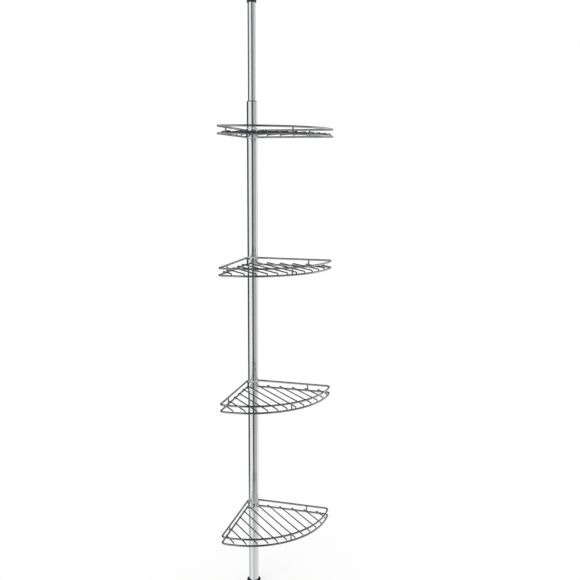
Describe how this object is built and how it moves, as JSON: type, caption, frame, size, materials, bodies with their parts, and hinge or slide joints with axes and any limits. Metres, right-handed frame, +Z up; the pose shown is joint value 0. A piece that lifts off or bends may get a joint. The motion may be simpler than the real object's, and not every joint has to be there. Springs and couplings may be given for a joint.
{
  "type": "tension pole shelf unit",
  "caption": "Corner tension pole in chromed tube with quarter-round wire baskets that slide and turn on it; rubber ends press on floor and ceiling.",
  "frame": {"origin": "middle of the rubber foot's underside, on the pole's axis", "axes": "+Z up along the pole; the baskets open out toward -Y and their square corner sits round the pole"},
  "size_m": [0.2988, 0.2232, 1.524],
  "materials": {
    "chrome_tube": "bright chrome plate on steel tube",
    "chrome_wire": "bright chrome plate on welded steel wire",
    "black_rubber": "satin moulded rubber",
    "clip_plastic": "moulded light grey plastic",
    "nylon": "natural moulded nylon",
    "bright_steel": "zinc plated steel"
  },
  "bodies": {
    "pole": {"rubber_foot": "black_rubber", "lower_tube": "chrome_tube", "upper_tube": "chrome_tube", "mouth_bush": "nylon"},
    "lock": {"lock_sleeve": "nylon"},
    "cone": {"lock_cone": "nylon"},
    "spindle": {"lock_spindle": "bright_steel", "tension_spring": "bright_steel"},
    "inner_pole": {"slim_tube": "chrome_tube", "end_guide": "nylon", "spring_stop": "bright_steel", "top_cap": "black_rubber"},
    "bottom_clips": {"bottom_clip_right": "clip_plastic", "bottom_clip_left": "clip_plastic"},
    "bottom_basket": {"bottom_rim": "chrome_wire", "bottom_rail": "chrome_wire", "bottom_floor_wires": "chrome_wire", "bottom_uprights": "chrome_wire", "bottom_collar": "chrome_wire"},
    "lower_clips": {"lower_clip_right": "clip_plastic", "lower_clip_left": "clip_plastic"},
    "lower_basket": {"lower_rim": "chrome_wire", "lower_rail": "chrome_wire", "lower_floor_wires": "chrome_wire", "lower_uprights": "chrome_wire", "lower_collar": "chrome_wire"},
    "upper_clips": {"upper_clip_right": "clip_plastic", "upper_clip_left": "clip_plastic"},
    "upper_basket": {"upper_rim": "chrome_wire", "upper_rail": "chrome_wire", "upper_floor_wires": "chrome_wire", "upper_uprights": "chrome_wire", "upper_collar": "chrome_wire"},
    "top_clips": {"top_clip_right": "clip_plastic", "top_clip_left": "clip_plastic"},
    "top_basket": {"top_rim": "chrome_wire", "top_rail": "chrome_wire", "top_floor_wires": "chrome_wire", "top_uprights": "chrome_wire", "top_collar": "chrome_wire"}
  },
  "joints": [
    {"name": "pole_extension", "type": "slide", "parent": "pole", "child": "lock", "axis": [0, 0, 1], "range_m": [0, 0.46]},
    {"name": "cone_travel", "type": "slide", "parent": "lock", "child": "cone", "axis": [0, 0, 1], "range_m": [-0.0013, 0]},
    {"name": "twist_lock", "type": "hinge", "parent": "lock", "child": "spindle", "pos_m": [0, 0, 0.71], "axis": [0, 0, 1], "range_deg": [-360, 0]},
    {"name": "spring_travel", "type": "slide", "parent": "spindle", "child": "inner_pole", "axis": [0, 0, 1], "range_m": [-0.025, 0.015], "stiffness_N_per_m": 4000, "springref_m": 0.00085, "deforming": ["tension_spring"]},
    {"name": "bottom_height", "type": "slide", "parent": "pole", "child": "bottom_clips", "axis": [0, 0, 1], "range_m": [-0.14, 0.14]},
    {"name": "bottom_swivel", "type": "hinge", "parent": "bottom_clips", "child": "bottom_basket", "pos_m": [0, 0, 0.23], "axis": [0, 0, 1], "continuous": true},
    {"name": "lower_height", "type": "slide", "parent": "pole", "child": "lower_clips", "axis": [0, 0, 1], "range_m": [-0.14, 0.14]},
    {"name": "lower_swivel", "type": "hinge", "parent": "lower_clips", "child": "lower_basket", "pos_m": [0, 0, 0.558], "axis": [0, 0, 1], "continuous": true},
    {"name": "upper_height", "type": "slide", "parent": "pole", "child": "upper_clips", "axis": [0, 0, 1], "range_m": [-0.14, 0.14]},
    {"name": "upper_swivel", "type": "hinge", "parent": "upper_clips", "child": "upper_basket", "pos_m": [0, 0, 0.876], "axis": [0, 0, 1], "continuous": true},
    {"name": "top_height", "type": "slide", "parent": "pole", "child": "top_clips", "axis": [0, 0, 1], "range_m": [-0.14, 0.06]},
    {"name": "top_swivel", "type": "hinge", "parent": "top_clips", "child": "top_basket", "pos_m": [0, 0, 1.188], "axis": [0, 0, 1], "continuous": true}
  ],
  "couplings": [
    {"joint": "cone_travel", "follows": "twist_lock", "m_per_rad": 0.00019894}
  ]
}
